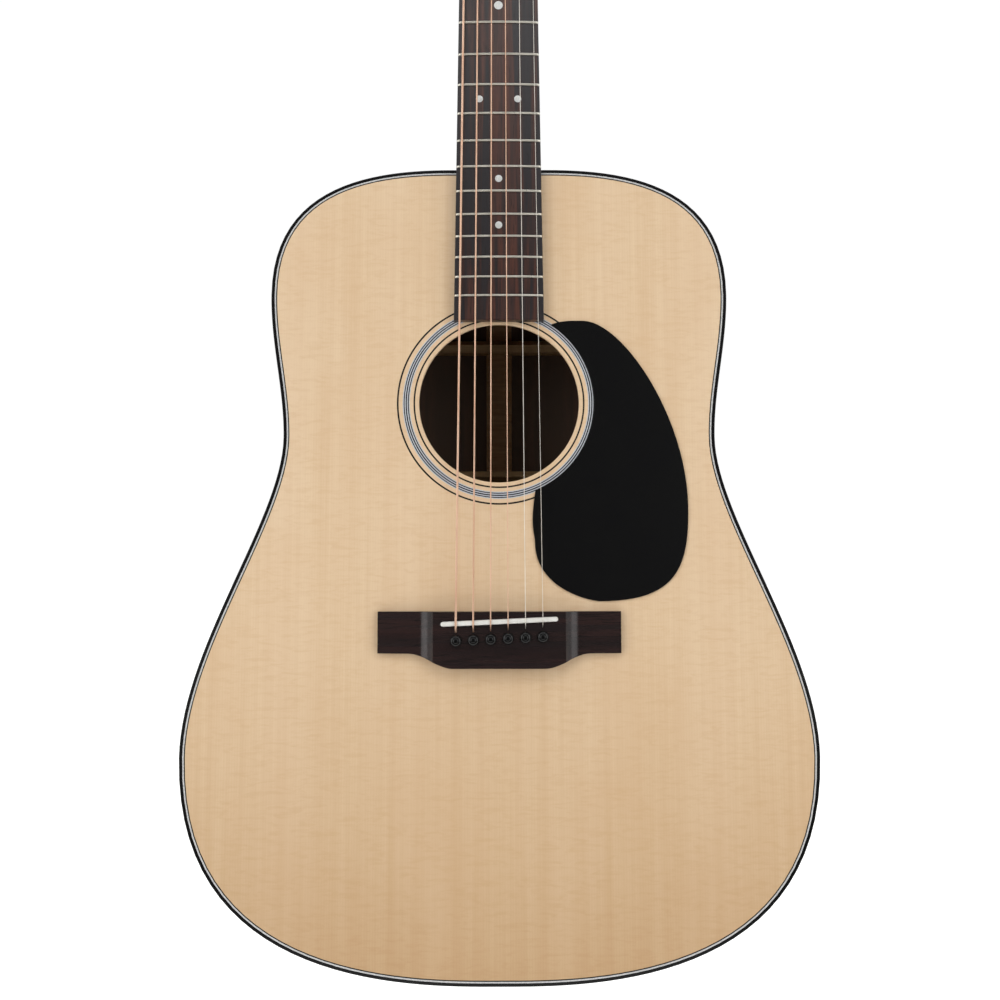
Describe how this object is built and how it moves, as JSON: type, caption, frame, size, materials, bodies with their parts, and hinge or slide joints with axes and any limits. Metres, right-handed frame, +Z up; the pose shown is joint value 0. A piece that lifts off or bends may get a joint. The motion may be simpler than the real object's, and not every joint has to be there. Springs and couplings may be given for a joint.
{
  "type": "acoustic guitar",
  "caption": "Flat-top steel-string acoustic guitar with a square-shouldered body, pinned bridge, bound edges, bolt-in neck and geared tuning machines.",
  "frame": {"origin": "at the nut, on the plane of the soundboard face, midway between the arms of the hanger that holds the guitar under its head", "axes": "+Z up the neck towards the head, -Y out of the soundboard, +Y towards the back, +X to the treble side"},
  "size_m": [0.3966, 0.136, 1.0498],
  "materials": {
    "spruce_top": "gloss lacquer over spruce",
    "rosewood_body": "gloss lacquer over rosewood",
    "black_plastic": "gloss black plastic",
    "maple": "bare wood",
    "mahogany": "satin lacquer over mahogany",
    "brace_spruce": "bare spruce",
    "fingerboard_wood": "oiled rosewood",
    "bridge_wood": "oiled rosewood",
    "bone": "polished bone",
    "rod_steel": "plain steel",
    "guard_plastic": "polished black plastic",
    "pin_plastic": "black plastic",
    "steel_wire": "plain steel wire",
    "bronze_wire": "bronze wound wire",
    "nickel": "nickel plate"
  },
  "bodies": {
    "guitar": {"soundboard": "spruce_top", "back": "rosewood_body", "rib_bass": "rosewood_body", "rib_treble": "rosewood_body", "head_plate": "rosewood_body", "top_binding": "black_plastic", "back_binding": "black_plastic", "heel_cap": "black_plastic", "top_lining_bass": "maple", "top_lining_treble": "maple", "back_lining_bass": "maple", "back_lining_treble": "maple", "bridge_plate": "maple", "neck": "mahogany", "neck_block": "mahogany", "tail_block": "mahogany", "x_brace": "brace_spruce", "upper_transverse_brace": "brace_spruce", "back_brace_1": "brace_spruce", "back_brace_2": "brace_spruce", "back_brace_3": "brace_spruce", "back_brace_4": "brace_spruce", "back_centre_strip": "brace_spruce", "fingerboard": "fingerboard_wood", "bridge": "bridge_wood", "nut": "bone", "saddle": "bone", "pickguard": "guard_plastic", "end_pin": "pin_plastic", "string_1": "steel_wire", "string_2": "steel_wire", "string_3": "bronze_wire", "string_4": "bronze_wire", "string_5": "bronze_wire", "string_6": "bronze_wire", "tuner_plate_1": "nickel", "tuner_plate_2": "nickel", "tuner_plate_3": "nickel", "tuner_plate_4": "nickel", "tuner_plate_5": "nickel", "tuner_plate_6": "nickel"},
    "truss_rod": {"truss_rod": "rod_steel"},
    "bridge_pin_1": {"bridge_pin_1": "pin_plastic"},
    "bridge_pin_2": {"bridge_pin_2": "pin_plastic"},
    "bridge_pin_3": {"bridge_pin_3": "pin_plastic"},
    "bridge_pin_4": {"bridge_pin_4": "pin_plastic"},
    "bridge_pin_5": {"bridge_pin_5": "pin_plastic"},
    "bridge_pin_6": {"bridge_pin_6": "pin_plastic"},
    "tuner_post_1": {"tuner_post_1": "nickel"},
    "tuner_post_2": {"tuner_post_2": "nickel"},
    "tuner_post_3": {"tuner_post_3": "nickel"},
    "tuner_post_4": {"tuner_post_4": "nickel"},
    "tuner_post_5": {"tuner_post_5": "nickel"},
    "tuner_post_6": {"tuner_post_6": "nickel"},
    "tuner_knob_1": {"tuner_knob_1": "nickel"},
    "tuner_knob_2": {"tuner_knob_2": "nickel"},
    "tuner_knob_3": {"tuner_knob_3": "nickel"},
    "tuner_knob_4": {"tuner_knob_4": "nickel"},
    "tuner_knob_5": {"tuner_knob_5": "nickel"},
    "tuner_knob_6": {"tuner_knob_6": "nickel"}
  },
  "joints": [
    {"name": "tuner_knob_1_turn", "type": "hinge", "parent": "guitar", "child": "tuner_knob_1", "pos_m": [0.0215, 0.02783, 0.0327], "axis": [1, 0, 0], "continuous": true},
    {"name": "tuner_post_1_turn", "type": "hinge", "parent": "guitar", "child": "tuner_post_1", "pos_m": [0.0215, 0.01201, 0.04423], "axis": [0, -0.9681, 0.2504], "continuous": true},
    {"name": "tuner_knob_2_turn", "type": "hinge", "parent": "guitar", "child": "tuner_knob_2", "pos_m": [0.023, 0.03735, 0.06949], "axis": [1, 0, 0], "continuous": true},
    {"name": "tuner_post_2_turn", "type": "hinge", "parent": "guitar", "child": "tuner_post_2", "pos_m": [0.023, 0.02153, 0.08102], "axis": [0, -0.9681, 0.2504], "continuous": true},
    {"name": "tuner_knob_3_turn", "type": "hinge", "parent": "guitar", "child": "tuner_knob_3", "pos_m": [0.0242, 0.04686, 0.10628], "axis": [1, 0, 0], "continuous": true},
    {"name": "tuner_post_3_turn", "type": "hinge", "parent": "guitar", "child": "tuner_post_3", "pos_m": [0.0242, 0.03104, 0.11781], "axis": [0, -0.9681, 0.2504], "continuous": true},
    {"name": "tuner_knob_4_turn", "type": "hinge", "parent": "guitar", "child": "tuner_knob_4", "pos_m": [-0.0242, 0.04686, 0.10628], "axis": [1, 0, 0], "continuous": true},
    {"name": "tuner_post_4_turn", "type": "hinge", "parent": "guitar", "child": "tuner_post_4", "pos_m": [-0.0242, 0.03104, 0.11781], "axis": [0, -0.9681, 0.2504], "continuous": true},
    {"name": "tuner_knob_5_turn", "type": "hinge", "parent": "guitar", "child": "tuner_knob_5", "pos_m": [-0.023, 0.03735, 0.06949], "axis": [1, 0, 0], "continuous": true},
    {"name": "tuner_post_5_turn", "type": "hinge", "parent": "guitar", "child": "tuner_post_5", "pos_m": [-0.023, 0.02153, 0.08102], "axis": [0, -0.9681, 0.2504], "continuous": true},
    {"name": "tuner_knob_6_turn", "type": "hinge", "parent": "guitar", "child": "tuner_knob_6", "pos_m": [-0.0215, 0.02783, 0.0327], "axis": [1, 0, 0], "continuous": true},
    {"name": "tuner_post_6_turn", "type": "hinge", "parent": "guitar", "child": "tuner_post_6", "pos_m": [-0.0215, 0.01201, 0.04423], "axis": [0, -0.9681, 0.2504], "continuous": true},
    {"name": "bridge_pin_1_pull", "type": "slide", "parent": "guitar", "child": "bridge_pin_1", "axis": [0, -1, 0], "range_m": [0, 0.032]},
    {"name": "bridge_pin_2_pull", "type": "slide", "parent": "guitar", "child": "bridge_pin_2", "axis": [0, -1, 0], "range_m": [0, 0.032]},
    {"name": "bridge_pin_3_pull", "type": "slide", "parent": "guitar", "child": "bridge_pin_3", "axis": [0, -1, 0], "range_m": [0, 0.032]},
    {"name": "bridge_pin_4_pull", "type": "slide", "parent": "guitar", "child": "bridge_pin_4", "axis": [0, -1, 0], "range_m": [0, 0.032]},
    {"name": "bridge_pin_5_pull", "type": "slide", "parent": "guitar", "child": "bridge_pin_5", "axis": [0, -1, 0], "range_m": [0, 0.032]},
    {"name": "bridge_pin_6_pull", "type": "slide", "parent": "guitar", "child": "bridge_pin_6", "axis": [0, -1, 0], "range_m": [0, 0.032]},
    {"name": "truss_rod_turn", "type": "hinge", "parent": "guitar", "child": "truss_rod", "pos_m": [0, 0.0088, -0.2], "axis": [0, 0, 1], "range_deg": [-360, 360]}
  ],
  "couplings": [
    {"joint": "tuner_post_1_turn", "follows": "tuner_knob_1_turn", "ratio": -0.066667},
    {"joint": "tuner_post_2_turn", "follows": "tuner_knob_2_turn", "ratio": -0.066667},
    {"joint": "tuner_post_3_turn", "follows": "tuner_knob_3_turn", "ratio": -0.066667},
    {"joint": "tuner_post_4_turn", "follows": "tuner_knob_4_turn", "ratio": 0.066667},
    {"joint": "tuner_post_5_turn", "follows": "tuner_knob_5_turn", "ratio": 0.066667},
    {"joint": "tuner_post_6_turn", "follows": "tuner_knob_6_turn", "ratio": 0.066667}
  ]
}
